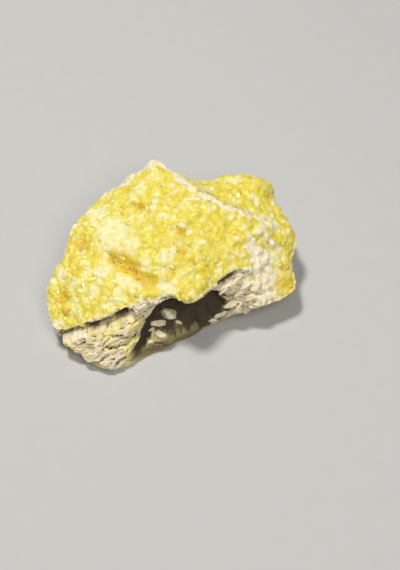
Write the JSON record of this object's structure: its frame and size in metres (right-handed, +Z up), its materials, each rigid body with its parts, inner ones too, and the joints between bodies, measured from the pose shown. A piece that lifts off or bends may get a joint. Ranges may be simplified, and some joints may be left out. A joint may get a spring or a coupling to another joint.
{
  "type": "native sulfur specimen",
  "caption": "Hand-sized piece of pale limestone with a granular yellow sulfur crust over its top, broken in front, resting on a flat underside.",
  "frame": {"origin": "under the middle of the stone's bounding box, on the surface it stands on", "axes": "+X along the stone's length, from the sloping spur to the leaning shoulder; +Y away from the broken front face; +Z up out of the sulfur crust"},
  "size_m": [0.0762, 0.0664, 0.0264],
  "materials": {
    "sulfur_rock": "granular lemon yellow sulfur crust over rough broken cream limestone",
    "sulfur_crystal": "small glassy resinous yellow sulfur crystals"
  },
  "bodies": {
    "root": {"sulfur_stone": "sulfur_rock"}
  },
  "joints": []
}
